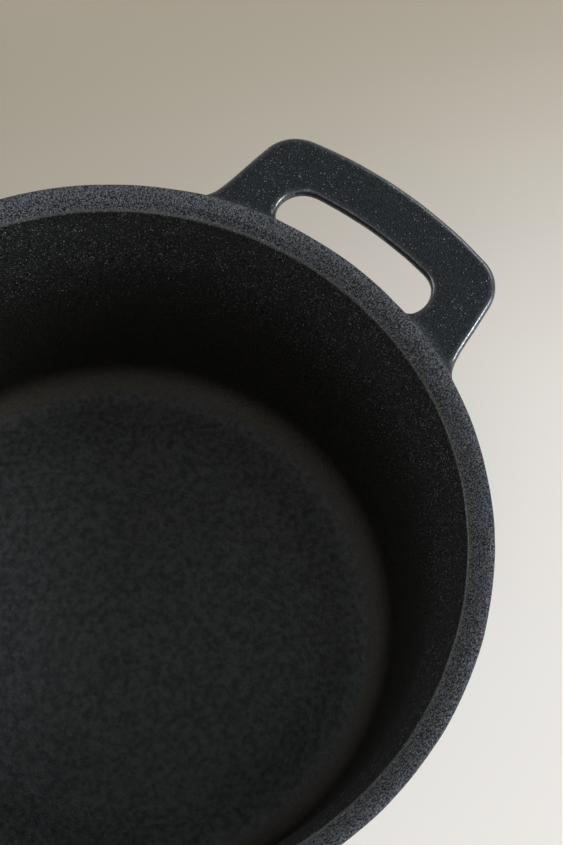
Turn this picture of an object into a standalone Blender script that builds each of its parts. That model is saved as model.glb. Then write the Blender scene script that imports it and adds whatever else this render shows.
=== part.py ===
"""A round cast-iron cocotte with its lid taken off and laid beside it on its knob.

Metres, +Z up. The origin is the centre of the pot's underside, the two loop
handles lie along X, and the lid lies towards +Y. The lid is modelled where it
sits when the cocotte is closed, then turned over about one axis to its place
on the table.
"""

import math

import bmesh
import bpy
from mathutils import Matrix

# Pot
POT_HEIGHT = 0.094
RIM_OUTER_RADIUS = 0.105
RIM_OUTER_ROUNDING = 0.0018
RIM_INNER_ROUNDING = 0.0036
RIM_WIDTH = 0.0073
RIM_INNER_DROP = 0.0045
RIM_LIP_SLOPE = 20.0
FLARE_DEPTH = 0.0196
FLARE_INSET = 0.0037
STEP_WIDTH = 0.0008
STEP_ROUNDING = 0.0005
WALL_DRAFT = 8.3
WALL_THICKNESS = 0.0060
FLOOR_THICKNESS = 0.0056
FLOOR_FILLET = 0.0117
SHOULDER_ROUNDING = 0.030
BASE_FILLET = 0.014

# Loop handles, one on each side of the pot
HANDLE_DROP = 0.0037
HANDLE_THICKNESS = 0.0056
HANDLE_DRAFT = 10.0
HANDLE_EDGE_ROUNDING = 0.0018
HANDLE_REACH = 0.0306
HANDLE_HALF_WIDTH = 0.0430
HANDLE_TAPER = 6.5
HANDLE_CORNER_RADIUS = 0.0125
HANDLE_ROOT_FILLET = 0.0045
GRIP_WIDTH = 0.0163
SLOT_HALF_LENGTH = 0.0260
SLOT_END_RADIUS = 0.0080
SLOT_END_TURN = 140.0
ROOT_SHARE = 0.6

# Lid
LID_OVERHANG = -0.0006
LID_EDGE_THICKNESS = 0.0044
LID_EDGE_ROUNDING = 0.0017
LID_SHOULDER_INSET = 0.0075
LID_SHOULDER_FILLET = 0.010
LID_BROW_INSET = 0.0233
LID_BROW_DROP = 0.0024
LID_BROW_FILLET = 0.060
LID_CROWN_HEIGHT = 0.0165
LID_THICKNESS = 0.0048
KNOB_PAD_RADIUS = 0.011
KNOB_PAD_HEIGHT = 0.0012
KNOB_PAD_FILLET = 0.0008
RING_CLEARANCE = 0.0025
RING_WIDTH = 0.0044
RING_DEPTH = 0.0040
RING_ROUNDING = 0.0012
RING_ROOT_WIDTH = 0.0016
RING_ROOT_FILLET = 0.006
SCREW_HOLE_RADIUS = 0.0034
NUB_RADIUS = 0.0024
NUB_HEIGHT = 0.0024
NUB_TIP_RADIUS = 0.0012
NUB_RINGS = ((0.034, 7), (0.060, 13))

# Knob and its fastening
KNOB_HEIGHT = 0.022
KNOB_RADIUS = 0.019
KNOB_HEAD_THICKNESS = 0.0075
KNOB_EDGE_ROUNDING = 0.0030
KNOB_UNDERCUT = 0.0025
KNOB_HEAD_FILLET = 0.004
KNOB_NECK_RADIUS = 0.0070
KNOB_NECK_FILLET = 0.003
KNOB_FOOT_RADIUS = 0.0096
KNOB_FOOT_HEIGHT = 0.0022
KNOB_FOOT_FLARE = 0.0020
KNOB_FOOT_ROUNDING = 0.0008
SCREW_RADIUS = 0.0028
SCREW_BITE = 0.011
SCREW_HEAD_RADIUS = 0.0058
SCREW_HEAD_HEIGHT = 0.0026
SCREW_HEAD_ROUNDING = 0.0016
SCREW_RECESS_WIDTH = 0.0012
SCREW_RECESS_LENGTH = 0.0056
SCREW_RECESS_DEPTH = 0.0014
WASHER_RADIUS = 0.0054
WASHER_THICKNESS = 0.0013
WASHER_SPLIT = 0.0010

# The lid's place on the table
LID_PARKING_GAP = 0.080
TURN_WHEN_PARKED = 180.0

# Gaps and resolution
TOUCH_GAP = 0.0003
THREAD_GAP = 0.0003
BODY_STEPS = 64
KNOB_STEPS = 32
SCREW_STEPS = 20
NUB_STEPS = 8
ARC_STEP = 24.0
OVERSHOOT = 0.002


def clear_scene():
    """Removes every object of the scene."""
    for old in list(bpy.data.objects):
        bpy.data.objects.remove(old, do_unlink=True)


def make_material(name, colour, roughness, metallic):
    """Returns a Principled material of one colour."""
    material = bpy.data.materials.new(name)
    material.use_nodes = True
    shader = material.node_tree.nodes["Principled BSDF"]
    shader.inputs["Base Color"].default_value = (*colour, 1.0)
    shader.inputs["Roughness"].default_value = roughness
    shader.inputs["Metallic"].default_value = metallic
    material.diffuse_color = (*colour, 1.0)
    return material


def slope(degrees):
    """Returns the sideways run of one unit of height on a face this far from upright."""
    return math.tan(math.radians(degrees))


def arc(centre, radius, start, end, step=ARC_STEP):
    """Returns points of an arc in degrees, both ends included."""
    count = max(1, math.ceil(abs(end - start) / step))
    angles = (math.radians(start + (end - start) * i / count) for i in range(count + 1))
    return [(centre[0] + radius * math.cos(a), centre[1] + radius * math.sin(a)) for a in angles]


def heading(start, end):
    """Returns the distance between two points and the unit direction from one to the other."""
    length = math.hypot(end[0] - start[0], end[1] - start[1])
    return length, ((end[0] - start[0]) / length, (end[1] - start[1]) / length)


def rounded(corners):
    """Returns an open outline from (x, y, fillet) corners, each fillet limited by its two sides."""
    points = [corners[0][:2]]
    for before, corner, after in zip(corners, corners[1:], corners[2:]):
        x, y, fillet = corner
        back, u = heading(corner, before)
        ahead, v = heading(corner, after)
        inside = math.acos(max(-1.0, min(1.0, u[0] * v[0] + u[1] * v[1])))
        turn = math.pi - inside
        if fillet <= 0 or turn < math.radians(1):
            points.append((x, y))
            continue
        tangent = min(fillet * math.tan(turn / 2), 0.48 * back, 0.48 * ahead)
        radius = tangent / math.tan(turn / 2)
        _, middle = heading((0.0, 0.0), (u[0] + v[0], u[1] + v[1]))
        reach = radius / math.sin(inside / 2)
        centre = (x + middle[0] * reach, y + middle[1] * reach)
        first = math.degrees(math.atan2(y + u[1] * tangent - centre[1], x + u[0] * tangent - centre[0]))
        last = math.degrees(math.atan2(y + v[1] * tangent - centre[1], x + v[0] * tangent - centre[0]))
        last = first + (last - first + 180) % 360 - 180
        points += arc(centre, radius, first, last)
    points.append(corners[-1][:2])
    return points


def drawn_in(outline, distance, anchor_radius):
    """Returns a closed outline moved this far inwards with mitred corners, but for points near the origin."""
    following = outline[1:] + outline[:1]
    area = sum(x0 * y1 - x1 * y0 for (x0, y0), (x1, y1) in zip(outline, following))
    inwards = math.copysign(distance, area)
    points = []
    for before, point, after in zip(outline[-1:] + outline[:-1], outline, following):
        if math.hypot(*point) <= anchor_radius:
            points.append(point)
            continue
        _, u = heading(before, point)
        _, v = heading(point, after)
        mitre = inwards / (1 + u[0] * v[0] + u[1] * v[1])
        points.append((point[0] - (u[1] + v[1]) * mitre, point[1] + (u[0] + v[0]) * mitre))
    return points


def finish_round(obj, material):
    """Shades a round piece smooth with its edges kept, and gives it its material."""
    obj.data.materials.append(material)
    obj.data.shade_smooth()
    obj.data.set_sharp_from_angle(angle=math.radians(35))
    return obj


def link(name, mesh):
    """Returns a new object of this mesh, in the scene."""
    obj = bpy.data.objects.new(name, mesh)
    bpy.context.scene.collection.objects.link(obj)
    return obj


def lathe(name, outline, steps, loop=False):
    """Returns an object turned about Z from (radius, height) points that run down its outer side."""
    spin = bmesh.new()
    verts = [spin.verts.new((x, 0.0, z)) for x, z in outline]
    pairs = list(zip(verts, verts[1:])) + ([(verts[-1], verts[0])] if loop else [])
    edges = [spin.edges.new(pair) for pair in pairs]
    bmesh.ops.spin(
        spin, geom=verts + edges, cent=(0, 0, 0), axis=(0, 0, 1), angle=math.tau, steps=steps, use_merge=True
    )
    bmesh.ops.remove_doubles(spin, verts=spin.verts, dist=1e-6)
    bmesh.ops.recalc_face_normals(spin, faces=spin.faces)
    mesh = bpy.data.meshes.new(name)
    spin.to_mesh(mesh)
    spin.free()
    return link(name, mesh)


def stack(name, outline, levels, anchor_radius=0.0):
    """Returns a closed solid through this outline, drawn in and set at a height as each (inset, height) says."""
    build = bmesh.new()
    rows = []
    for inset, height in levels:
        around = drawn_in(outline, inset, anchor_radius)
        rows.append([build.verts.new((x, y, height)) for x, y in around])
    build.faces.new(rows[0])
    build.faces.new(rows[-1])
    for lower, upper in zip(rows, rows[1:]):
        for i in range(len(outline)):
            build.faces.new((lower[i - 1], lower[i], upper[i], upper[i - 1]))
    bmesh.ops.recalc_face_normals(build, faces=build.faces)
    mesh = bpy.data.meshes.new(name)
    build.to_mesh(mesh)
    build.free()
    return link(name, mesh)


def prism(name, outline, bottom, top):
    """Returns a closed upright prism over this outline."""
    return stack(name, outline, [(0.0, bottom), (0.0, top)])


def combine(obj, other, operation):
    """Joins or cuts with a helper object, which stays out of the model."""
    other.hide_render = True
    other.display_type = "WIRE"
    other.parent = obj
    modifier = obj.modifiers.new(other.name, "BOOLEAN")
    modifier.operation = operation
    modifier.solver = "EXACT"
    modifier.object = other


def mouth_radius():
    """Returns the radius of the sharp inner edge of the rim."""
    return RIM_OUTER_RADIUS - RIM_WIDTH


def flare_radius():
    """Returns the inner radius at the foot of the flared band under the rim."""
    return mouth_radius() - FLARE_INSET


def step_radius():
    """Returns the inner radius just under the step."""
    return flare_radius() - STEP_WIDTH


def shoulder_radius():
    """Returns the outer radius at the foot of the flared band."""
    return step_radius() + WALL_THICKNESS / math.cos(math.radians(WALL_DRAFT))


def outer_run():
    """Returns the sideways run per height of the outer face, from the shoulder up to the rim's rounding."""
    across = RIM_OUTER_RADIUS - RIM_OUTER_ROUNDING - shoulder_radius()
    up = FLARE_DEPTH - RIM_OUTER_ROUNDING
    lean = math.asin(RIM_OUTER_ROUNDING / math.hypot(across, up))
    return 1 / math.tan(math.atan2(up, across) - lean)


def outer_radius(drop):
    """Returns the outer face's radius this far under the rim, within the flared band."""
    return shoulder_radius() + (FLARE_DEPTH - drop) * outer_run()


def pot_outline():
    """Returns the pot's section: across the floor, up the inside, over the rim and down the outside."""
    step_height = POT_HEIGHT - FLARE_DEPTH
    foot_height = step_height - STEP_WIDTH
    floor_corner = step_radius() - (foot_height - FLOOR_THICKNESS) * slope(WALL_DRAFT)
    base_corner = shoulder_radius() - step_height * slope(WALL_DRAFT)
    edge_height = POT_HEIGHT - RIM_INNER_DROP
    lip = mouth_radius() + RIM_INNER_DROP * slope(RIM_LIP_SLOPE)
    return rounded(
        [
            (0.0, FLOOR_THICKNESS, 0),
            (floor_corner, FLOOR_THICKNESS, FLOOR_FILLET),
            (step_radius(), foot_height, STEP_ROUNDING),
            (flare_radius(), step_height, STEP_ROUNDING),
            (mouth_radius(), edge_height, 0),
            (lip, POT_HEIGHT, RIM_INNER_ROUNDING),
            (outer_radius(0), POT_HEIGHT, RIM_OUTER_ROUNDING),
            (shoulder_radius(), step_height, SHOULDER_ROUNDING),
            (base_corner, 0.0, BASE_FILLET),
            (0.0, 0.0, 0),
        ]
    )


def along_to_radius(point, direction, radius):
    """Returns where a line that starts inside a circle about the origin leaves it."""
    along = point[0] * direction[0] + point[1] * direction[1]
    past = math.sqrt(along**2 - (point[0] ** 2 + point[1] ** 2 - radius**2))
    return (point[0] + direction[0] * (past - along), point[1] + direction[1] * (past - along))


def root_radius(wall):
    """Returns the radius of the handle's ends, which are buried in the pot's wall."""
    return wall - ROOT_SHARE * WALL_THICKNESS


def handle_half_outline(wall):
    """Returns half of a handle's outer edge, from inside the pot's wall to the middle of the grip."""
    taper = math.radians(HANDLE_TAPER)
    direction = (math.cos(taper), -math.sin(taper))
    outwards = (math.sin(taper), math.cos(taper))
    reach = RIM_OUTER_RADIUS + HANDLE_REACH

    def beside(distance):
        """Returns a point of the line that runs this far outside the handle's side."""
        return (outwards[0] * distance, HANDLE_HALF_WIDTH + wall * slope(HANDLE_TAPER) + outwards[1] * distance)

    root = along_to_radius(beside(HANDLE_ROOT_FILLET), direction, wall + HANDLE_ROOT_FILLET)
    root_azimuth = math.degrees(math.atan2(root[1], root[0]))
    corner = along_to_radius(beside(-HANDLE_CORNER_RADIUS), direction, reach - HANDLE_CORNER_RADIUS)
    corner_azimuth = math.degrees(math.atan2(corner[1], corner[0]))
    side_angle = 90 - HANDLE_TAPER
    outline = arc((0, 0), root_radius(wall), slot_root_azimuth(wall), root_azimuth, ARC_STEP / 2)[1:]
    outline += arc(root, HANDLE_ROOT_FILLET, root_azimuth + 180, side_angle + 180)
    outline += arc(corner, HANDLE_CORNER_RADIUS, side_angle, corner_azimuth, ARC_STEP / 2)
    outline += arc((0, 0), reach, corner_azimuth, 0, ARC_STEP / 5)[1:]
    return outline


def slot_half_outline(wall):
    """Returns half of a finger slot's edge, from inside the pot's wall to the middle of the grip."""
    far_side = RIM_OUTER_RADIUS + HANDLE_REACH - GRIP_WIDTH
    end_y = SLOT_HALF_LENGTH - SLOT_END_RADIUS
    end = (math.sqrt((far_side - SLOT_END_RADIUS) ** 2 - end_y**2), end_y)
    azimuth = math.degrees(math.atan2(end[1], end[0]))
    round_end = arc(end, SLOT_END_RADIUS, SLOT_END_TURN, azimuth)
    turn = math.radians(SLOT_END_TURN)
    tangent = (-math.sin(turn), math.cos(turn))
    distance, outwards = heading((0, 0), round_end[0])
    inwards = -(tangent[0] * outwards[0] + tangent[1] * outwards[1])
    run = (distance - root_radius(wall)) / inwards
    start = (round_end[0][0] + tangent[0] * run, round_end[0][1] + tangent[1] * run)
    return [start] + round_end + arc((0, 0), far_side, azimuth, 0, ARC_STEP / 5)[1:]


def slot_root_azimuth(wall):
    """Returns the azimuth in degrees at which a slot's edge ends inside the pot's wall."""
    x, y = slot_half_outline(wall)[0]
    return math.degrees(math.atan2(y, x))


def mirrored(half):
    """Returns a whole outline from a half that ends on the X axis."""
    return half + [(x, -y) for x, y in reversed(half[:-1])]


def handle_levels():
    """Returns the handle's (inset, height) levels: sides that draw in downwards, between two rounded edges."""
    top = POT_HEIGHT - HANDLE_DROP
    bottom = top - HANDLE_THICKNESS
    run = HANDLE_THICKNESS * slope(HANDLE_DRAFT)
    inside = run + 2 * HANDLE_THICKNESS
    edge = HANDLE_EDGE_ROUNDING
    levels = rounded([(inside, bottom, 0), (run, bottom, edge), (0.0, top, edge), (inside, top, 0)])[1:-1]
    widest = min(inset for inset, _ in levels)
    return [(inset - widest, height) for inset, height in levels]


def make_handle(name, side):
    """Returns one loop handle as a helper, reaching along +X or -X."""
    wall = outer_radius(HANDLE_DROP + HANDLE_THICKNESS / 2)
    outline = mirrored(handle_half_outline(wall)) + list(reversed(mirrored(slot_half_outline(wall))))
    turned = [(side * x, side * y) for x, y in outline]
    return stack(name, turned, handle_levels(), root_radius(wall) + TOUCH_GAP)


def make_pot(material):
    """Returns the pot, one casting with both of its handles."""
    pot = lathe("pot", pot_outline(), BODY_STEPS)
    for name, side in (("handle_right", 1), ("handle_left", -1)):
        combine(pot, make_handle(name, side), "UNION")
    return finish_round(pot, material)


def seat_height():
    """Returns the height of the lid's seat when it is on the pot."""
    return POT_HEIGHT + TOUCH_GAP


def crown_underside():
    """Returns the height of the flat round the screw hole, inside the lid."""
    return seat_height() + LID_CROWN_HEIGHT - KNOB_PAD_HEIGHT - LID_THICKNESS


def lid_outline():
    """Returns the lid's section, out over its top, round the edge and back under it."""
    seat = seat_height()
    edge = RIM_OUTER_RADIUS + LID_OVERHANG
    crown = seat + LID_CROWN_HEIGHT
    dome = crown - KNOB_PAD_HEIGHT
    edge_top = seat + LID_EDGE_THICKNESS
    shoulder = edge - LID_SHOULDER_INSET
    brow = shoulder - LID_BROW_INSET
    brow_height = dome - LID_BROW_DROP
    ring = mouth_radius() - RING_CLEARANCE
    ring_foot = ring - RING_DEPTH * slope(WALL_DRAFT)
    under = LID_THICKNESS
    return rounded(
        [
            (SCREW_HOLE_RADIUS, crown, 0),
            (KNOB_PAD_RADIUS, crown, KNOB_PAD_FILLET),
            (KNOB_PAD_RADIUS + KNOB_PAD_HEIGHT, dome, KNOB_PAD_FILLET),
            (brow, brow_height, LID_BROW_FILLET),
            (shoulder, edge_top, LID_SHOULDER_FILLET),
            (edge, edge_top, LID_EDGE_ROUNDING),
            (edge, seat, LID_EDGE_ROUNDING / 2),
            (ring, seat, RING_ROUNDING / 3),
            (ring_foot, seat - RING_DEPTH, RING_ROUNDING),
            (ring_foot - RING_WIDTH, seat - RING_DEPTH, RING_ROUNDING),
            (ring - RING_WIDTH - RING_ROOT_WIDTH, edge_top - under, RING_ROOT_FILLET),
            (brow - under / 2, brow_height - under, LID_BROW_FILLET - under),
            (KNOB_PAD_RADIUS, dome - under, 0),
            (SCREW_HOLE_RADIUS, dome - under, 0),
        ]
    )


def underside_height(radius):
    """Returns the height of the lid's underside at this radius, inside the locating ring."""
    inwards = list(reversed(lid_outline()))
    for (r0, z0), (r1, z1) in zip(inwards, inwards[1:]):
        if r0 <= radius < r1:
            return z0 + (z1 - z0) * (radius - r0) / (r1 - r0)
    return crown_underside()


def make_nubs():
    """Returns the drip nubs under the lid as one helper of separate cones."""
    build = bmesh.new()
    for ring, count in NUB_RINGS:
        root = underside_height(ring + NUB_RADIUS) + OVERSHOOT
        tip = underside_height(ring) - NUB_HEIGHT
        sections = ((NUB_RADIUS, root), (NUB_RADIUS, tip + NUB_HEIGHT / 2), (NUB_TIP_RADIUS, tip))
        for index in range(count):
            azimuth = math.tau * index / count
            centre = (ring * math.cos(azimuth), ring * math.sin(azimuth))
            rows = []
            for radius, height in sections:
                around = arc(centre, radius, 0, 360 - 360 / NUB_STEPS, 360 / NUB_STEPS)
                rows.append([build.verts.new((x, y, height)) for x, y in around])
            for upper, lower in zip(rows, rows[1:]):
                for i in range(NUB_STEPS):
                    build.faces.new((upper[i - 1], upper[i], lower[i], lower[i - 1]))
            build.faces.new(rows[0])
            build.faces.new(rows[-1])
    bmesh.ops.recalc_face_normals(build, faces=build.faces)
    mesh = bpy.data.meshes.new("nubs")
    build.to_mesh(mesh)
    build.free()
    return link("nubs", mesh)


def make_lid(material):
    """Returns the domed lid, with its locating ring and its drip nubs."""
    lid = lathe("lid", lid_outline(), BODY_STEPS, loop=True)
    combine(lid, make_nubs(), "UNION")
    return finish_round(lid, material)


def knob_base():
    """Returns the height of the knob's foot."""
    return seat_height() + LID_CROWN_HEIGHT + TOUCH_GAP


def screw_tip():
    """Returns the height of the screw's end inside the knob."""
    return knob_base() + SCREW_BITE


def make_knob(material):
    """Returns the flat-topped knob with its blind hole for the screw."""
    base = knob_base()
    top = base + KNOB_HEIGHT
    head_foot = top - KNOB_HEAD_THICKNESS
    foot_top = base + KNOB_FOOT_HEIGHT
    hole = SCREW_RADIUS + THREAD_GAP
    outline = rounded(
        [
            (0.0, top, 0),
            (KNOB_RADIUS, top, KNOB_EDGE_ROUNDING),
            (KNOB_RADIUS, head_foot, KNOB_EDGE_ROUNDING),
            (KNOB_NECK_RADIUS, head_foot - KNOB_UNDERCUT, KNOB_HEAD_FILLET),
            (KNOB_NECK_RADIUS, foot_top + KNOB_FOOT_FLARE, KNOB_NECK_FILLET),
            (KNOB_FOOT_RADIUS, foot_top, KNOB_FOOT_ROUNDING),
            (KNOB_FOOT_RADIUS, base, KNOB_FOOT_ROUNDING / 2),
            (hole, base, 0),
            (hole, screw_tip() + THREAD_GAP, 0),
            (0.0, screw_tip() + THREAD_GAP, 0),
        ]
    )
    return finish_round(lathe("lid_knob", outline, KNOB_STEPS), material)


def make_washer(material):
    """Returns the split lock washer between the lid and the screw's head."""
    top = crown_underside() - TOUCH_GAP
    bottom = top - WASHER_THICKNESS
    bore = SCREW_RADIUS + THREAD_GAP
    section = [(bore, top), (WASHER_RADIUS, top), (WASHER_RADIUS, bottom), (bore, bottom)]
    washer = lathe("lock_washer", section, SCREW_STEPS, loop=True)
    half = WASHER_SPLIT / 2
    end = WASHER_RADIUS + OVERSHOOT
    square = [(bore / 2, -half), (end, -half), (end, half), (bore / 2, half)]
    combine(washer, prism("washer_split", square, bottom - OVERSHOOT, top + OVERSHOOT), "DIFFERENCE")
    return finish_round(washer, material)


def make_screw(material):
    """Returns the screw that holds the knob, with a cross recess in its head."""
    head_top = crown_underside() - WASHER_THICKNESS - 2 * TOUCH_GAP
    head_bottom = head_top - SCREW_HEAD_HEIGHT
    outline = rounded(
        [
            (0.0, screw_tip(), 0),
            (SCREW_RADIUS, screw_tip(), SCREW_RADIUS / 5),
            (SCREW_RADIUS, head_top, 0),
            (SCREW_HEAD_RADIUS, head_top, 0),
            (SCREW_HEAD_RADIUS, head_bottom, SCREW_HEAD_ROUNDING),
            (0.0, head_bottom, 0),
        ]
    )
    screw = lathe("knob_screw", outline, SCREW_STEPS)
    long_half = SCREW_RECESS_LENGTH / 2
    short_half = SCREW_RECESS_WIDTH / 2
    for name, x, y in (("recess_x", long_half, short_half), ("recess_y", short_half, long_half)):
        square = [(-x, -y), (x, -y), (x, y), (-x, y)]
        cutter = prism(name, square, head_bottom - OVERSHOOT, head_bottom + SCREW_RECESS_DEPTH)
        combine(screw, cutter, "DIFFERENCE")
    return finish_round(screw, material)


def turn_axis():
    """Returns the point midway between the closed lid and the parked lid, about which it turns over."""
    parked_centre = 2 * RIM_OUTER_RADIUS + LID_PARKING_GAP
    parked_seat = knob_base() + KNOB_HEIGHT - seat_height()
    return (0.0, parked_centre / 2, (seat_height() + parked_seat) / 2)


def park_lid(pieces):
    """Hangs the lid's pieces on the turning axis, and turns them over onto the table."""
    place = turn_axis()
    axis = bpy.data.objects.new("lid_turn_axis", None)
    axis.location = place
    axis.empty_display_size = RIM_OUTER_RADIUS / 2
    bpy.context.scene.collection.objects.link(axis)
    for piece in pieces:
        piece.parent = axis
        piece.matrix_parent_inverse = Matrix.Translation(place).inverted()
    axis.rotation_euler.x = math.radians(TURN_WHEN_PARKED)


def main():
    """Builds the cocotte: the pot, and the lid with its knob, washer and screw."""
    clear_scene()
    make_pot(make_material("pot_iron", (0.016, 0.018, 0.020), 0.50, 0.35))
    lid = make_lid(make_material("lid_iron", (0.016, 0.018, 0.020), 0.50, 0.35))
    knob = make_knob(make_material("knob_iron", (0.018, 0.020, 0.022), 0.42, 0.35))
    washer = make_washer(make_material("washer_steel", (0.42, 0.42, 0.41), 0.38, 1.0))
    screw = make_screw(make_material("screw_steel", (0.50, 0.50, 0.49), 0.32, 1.0))
    park_lid((lid, knob, washer, screw))


main()
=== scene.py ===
"""Looks of a round cast-iron cocotte whose lid lies beside it, turned over on its knob.

Metres, +Z up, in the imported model's own frame. Each piece is built here again with a
fine surface round the model's solid, gets its finish, and stands on a pale studio floor.
"""

import logging
import math
from collections.abc import Callable, Sequence
from dataclasses import dataclass
from enum import Enum
from itertools import product

import bmesh
import bpy
import numpy as np
from mathutils import Matrix, Vector, noise


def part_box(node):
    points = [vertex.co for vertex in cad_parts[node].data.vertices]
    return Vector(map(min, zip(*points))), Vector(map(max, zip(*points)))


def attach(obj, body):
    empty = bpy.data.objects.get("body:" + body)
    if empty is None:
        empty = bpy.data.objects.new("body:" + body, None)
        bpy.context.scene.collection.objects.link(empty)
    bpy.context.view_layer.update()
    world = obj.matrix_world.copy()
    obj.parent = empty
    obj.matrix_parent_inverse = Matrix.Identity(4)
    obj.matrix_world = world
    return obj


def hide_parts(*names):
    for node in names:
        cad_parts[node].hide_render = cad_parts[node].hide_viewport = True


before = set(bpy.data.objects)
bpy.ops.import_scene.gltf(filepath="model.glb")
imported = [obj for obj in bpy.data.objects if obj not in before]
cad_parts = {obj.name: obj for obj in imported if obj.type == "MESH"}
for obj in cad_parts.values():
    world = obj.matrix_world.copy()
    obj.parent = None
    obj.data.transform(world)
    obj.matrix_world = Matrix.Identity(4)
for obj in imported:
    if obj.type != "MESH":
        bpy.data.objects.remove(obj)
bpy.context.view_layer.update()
log = logging.getLogger("cocotte")

Point = tuple[float, float]
Span = tuple[float, float]
Corner = tuple[float, float, float]
Colour = tuple[float, float, float]
Distance = Callable[[np.ndarray], np.ndarray]
Piece = bpy.types.Object
Tree = bpy.types.NodeTree
Socket = bpy.types.NodeSocket

# The largest angle, in degrees, that one side of an arc spans.
ARC_STEP = 9.0
# A corner that turns by fewer degrees than this isn't rounded.
LEAST_TURN = 1.0
# The share of a side that the rounding of one corner may take.
SIDE_SHARE = 0.48
# A point nearer to the axis than this, in metres, lies on it.
POLE = 1e-6
# The step, in metres, that probes a surface, and the least length that an edge counts with.
PROBE = 5e-5
# The least squared steepness that a point is moved with.
LEAST_STEEPNESS = 0.05
# An edge that turns by more degrees than this is shaded sharp.
SHARP_EDGE = 38.0


class Zone(Enum):
    """Parts of a casting's skin that the finish tells apart, by their vertex attribute."""

    INSIDE = "inside"
    FLOOR = "cooking_floor"
    LIP = "lip"
    EDGE = "edge"
    BEAD = "bead"
    # Where a highlight is painted on the floor's fillet.
    HEEL_HIGHLIGHT = "heel_highlight"
    # How deep inside the pot: the painted glints fade out with it.
    DEPTH = "depth"


def slope(degrees: float) -> float:
    """Returns the sideways run of one unit of height on a face this far from upright."""
    return math.tan(math.radians(degrees))


def arc(centre: Point, radius: float, start: float, end: float, step: float = ARC_STEP) -> list[Point]:
    """Returns points of an arc.

    Args:
        centre: The arc's centre.
        radius: The arc's radius.
        start: The first point's angle in degrees.
        end: The last point's angle in degrees.
        step: The largest angle in degrees between two points.

    Returns:
        The points, both ends included.
    """
    count = max(1, math.ceil(abs(end - start) / step))
    angles = (math.radians(start + (end - start) * i / count) for i in range(count + 1))
    return [(centre[0] + radius * math.cos(a), centre[1] + radius * math.sin(a)) for a in angles]


def heading(start: Point, end: Point) -> tuple[float, Point]:
    """Returns the distance between two points and the unit direction from one to the other."""
    length = math.hypot(end[0] - start[0], end[1] - start[1])
    return length, ((end[0] - start[0]) / length, (end[1] - start[1]) / length)


def bearing(point: Point, centre: Point = (0.0, 0.0)) -> float:
    """Returns the angle in degrees at which a point lies from a centre."""
    return math.degrees(math.atan2(point[1] - centre[1], point[0] - centre[0]))


def rounded(corners: Sequence[Corner]) -> list[Point]:
    """Rounds the corners of an open outline.

    Args:
        corners: The outline's (x, y, fillet radius) corners.

    Returns:
        The outline's points, with each fillet limited by its two sides.
    """
    points = [corners[0][:2]]
    for before, corner, after in zip(corners, corners[1:], corners[2:]):
        x, y, fillet = corner
        back, u = heading(corner[:2], before[:2])
        ahead, v = heading(corner[:2], after[:2])
        inside = math.acos(max(-1.0, min(1.0, u[0] * v[0] + u[1] * v[1])))
        turn = math.pi - inside
        if fillet <= 0 or turn < math.radians(LEAST_TURN):
            points.append((x, y))
            continue
        tangent = min(fillet * math.tan(turn / 2), SIDE_SHARE * back, SIDE_SHARE * ahead)
        radius = tangent / math.tan(turn / 2)
        _, middle = heading((0.0, 0.0), (u[0] + v[0], u[1] + v[1]))
        reach = radius / math.sin(inside / 2)
        centre = (x + middle[0] * reach, y + middle[1] * reach)
        first, last = (bearing((x + w[0] * tangent, y + w[1] * tangent), centre) for w in (u, v))
        last = first + (last - first + 180) % 360 - 180
        points += arc(centre, radius, first, last)
    points.append(corners[-1][:2])
    return points


def spaced(outline: Sequence[Point], longest: float) -> list[Point]:
    """Splits the long sides of an open outline.

    Args:
        outline: The outline's points.
        longest: The length that no side exceeds afterwards.

    Returns:
        The outline's points with the new ones between them.
    """
    points = [outline[0]]
    for start, end in zip(outline, outline[1:]):
        parts = max(1, math.ceil(math.dist(start, end) / longest))
        points += [
            (start[0] + (end[0] - start[0]) * i / parts, start[1] + (end[1] - start[1]) * i / parts)
            for i in range(1, parts + 1)
        ]
    return points


def mirrored(half: list[Point]) -> list[Point]:
    """Returns a whole outline from a half that ends on the X axis."""
    return half + [(x, -y) for x, y in reversed(half[:-1])]


def smooth_step(values: np.ndarray, start: float, end: float) -> np.ndarray:
    """Returns 0 before start and 1 after end, with a smooth rise between them."""
    share = np.clip((values - start) / (end - start), 0.0, 1.0)
    return share * share * (3 - 2 * share)


def link(name: str, build: bmesh.types.BMesh) -> Piece:
    """Makes an object of a finished bmesh, with its faces turned outwards.

    Args:
        name: The new object's name.
        build: The bmesh, which is freed.

    Returns:
        The object, linked to the scene.
    """
    bmesh.ops.recalc_face_normals(build, faces=build.faces)
    mesh = bpy.data.meshes.new(name)
    build.to_mesh(mesh)
    build.free()
    obj = bpy.data.objects.new(name, mesh)
    bpy.context.scene.collection.objects.link(obj)
    return obj


def turned(name: str, outline: Sequence[Point], steps: int, closed: bool = False) -> Piece:
    """Turns a section about Z.

    Args:
        name: The new object's name.
        outline: The section's (radius, height) points.
        steps: How many steps go round.
        closed: Whether the last point joins the first.

    Returns:
        The turned object.
    """
    build = bmesh.new()
    angles = [math.tau * i / steps for i in range(steps)]
    rings = []
    for radius, height in outline:
        places = [(radius * math.cos(a), radius * math.sin(a), height) for a in angles]
        rings.append([build.verts.new(place) for place in (places[:1] if radius < POLE else places)])
    pairs = list(zip(rings, rings[1:])) + ([(rings[-1], rings[0])] if closed else [])
    for upper, lower in pairs:
        for i in range(steps):
            places = ((upper, i - 1), (upper, i), (lower, i), (lower, i - 1))
            corners = list(dict.fromkeys(ring[j % len(ring)] for ring, j in places))
            if len(corners) > 2:
                build.faces.new(corners)
    return link(name, build)


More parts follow.
